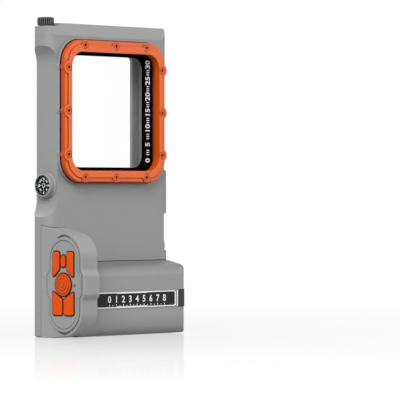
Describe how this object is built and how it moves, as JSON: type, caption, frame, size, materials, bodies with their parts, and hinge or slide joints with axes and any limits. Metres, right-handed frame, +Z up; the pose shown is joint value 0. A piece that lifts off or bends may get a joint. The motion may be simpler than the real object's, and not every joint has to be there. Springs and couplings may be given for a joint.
{
  "type": "waterproof phone case",
  "caption": "Slim upright diving case for a phone, with a framed lens window, clear back, hinged top lid, clamp knob, side compass and a side grip with press keys.",
  "frame": {"origin": "centre of the flat base of the case body, on the surface that it stands on", "axes": "+Z up along the case, +X to the right seen from the lens side, +Y towards the clear back"},
  "size_m": [0.1188, 0.0537, 0.2188],
  "materials": {
    "grey_plastic": "fine matte",
    "orange_plastic": "satin",
    "black_plastic": "satin",
    "white_plastic": "satin",
    "clear_acrylic": "polished",
    "lens_glass": "polished",
    "black_print": "gloss",
    "silicone": "matte",
    "steel": "fine brushed",
    "brass": "turned",
    "circuit": "satin"
  },
  "bodies": {
    "case": {"body_shell": "grey_plastic", "lid_hinge_pin": "steel", "threaded_insert": "brass", "lens_bezel": "orange_plastic", "bezel_screws": "orange_plastic", "lens_window": "lens_glass", "window_mask": "black_print", "lens_gasket": "silicone", "back_window": "clear_acrylic", "back_window_gasket": "silicone", "phone_pad_upper": "silicone", "phone_pad_lower": "silicone", "compass_housing": "black_plastic", "compass_pivot": "steel", "compass_lens": "clear_acrylic", "control_module": "grey_plastic", "module_seal": "silicone", "battery_cell": "black_plastic", "cell_contacts": "steel", "key_plate": "grey_plastic", "key_bezel": "grey_plastic", "key_membrane": "silicone", "control_board": "circuit", "tact_switches": "black_plastic", "status_led": "clear_acrylic", "nameplate": "black_print", "end_strip": "black_plastic"},
    "lid": {"top_lid": "grey_plastic", "lid_seal": "silicone"},
    "washer": {"knob_washer": "black_plastic"},
    "knob": {"lock_knob": "black_plastic", "lock_screw": "steel"},
    "compass_card": {"compass_card": "white_plastic"},
    "key_upper_rear": {"key_upper_rear": "orange_plastic"},
    "key_upper_front": {"key_upper_front": "orange_plastic"},
    "key_mode": {"key_mode": "orange_plastic"},
    "key_shutter": {"key_shutter": "orange_plastic"},
    "key_lower_rear": {"key_lower_rear": "orange_plastic"},
    "key_lower_front": {"key_lower_front": "orange_plastic"}
  },
  "joints": [
    {"name": "lid_hinge", "type": "hinge", "parent": "case", "child": "lid", "pos_m": [0.0554, 0, 0.2123], "axis": [0, 1, 0], "range_deg": [0, 110]},
    {"name": "knob_lift", "type": "slide", "parent": "lid", "child": "washer", "axis": [0, 0, 1], "range_m": [0, 0.00629]},
    {"name": "knob_turn", "type": "hinge", "parent": "washer", "child": "knob", "pos_m": [-0.052, 0, 0.2155], "axis": [0, 0, 1], "range_deg": [0, 3240]},
    {"name": "compass_spin", "type": "hinge", "parent": "case", "child": "compass_card", "pos_m": [-0.0535, -0.0002, 0.1038], "axis": [1, 0, 0], "continuous": true},
    {"name": "key_upper_rear_press", "type": "slide", "parent": "case", "child": "key_upper_rear", "axis": [1, 0, 0], "range_m": [0, 0.0008], "stiffness_N_per_m": 800},
    {"name": "key_upper_front_press", "type": "slide", "parent": "case", "child": "key_upper_front", "axis": [1, 0, 0], "range_m": [0, 0.0008], "stiffness_N_per_m": 800},
    {"name": "key_mode_press", "type": "slide", "parent": "case", "child": "key_mode", "axis": [1, 0, 0], "range_m": [0, 0.0008], "stiffness_N_per_m": 800},
    {"name": "key_shutter_press", "type": "slide", "parent": "case", "child": "key_shutter", "axis": [1, 0, 0], "range_m": [0, 0.0008], "stiffness_N_per_m": 800},
    {"name": "key_lower_rear_press", "type": "slide", "parent": "case", "child": "key_lower_rear", "axis": [1, 0, 0], "range_m": [0, 0.0008], "stiffness_N_per_m": 800},
    {"name": "key_lower_front_press", "type": "slide", "parent": "case", "child": "key_lower_front", "axis": [1, 0, 0], "range_m": [0, 0.0008], "stiffness_N_per_m": 800}
  ],
  "couplings": [
    {"joint": "knob_turn", "follows": "knob_lift", "rad_per_m": 8976}
  ]
}
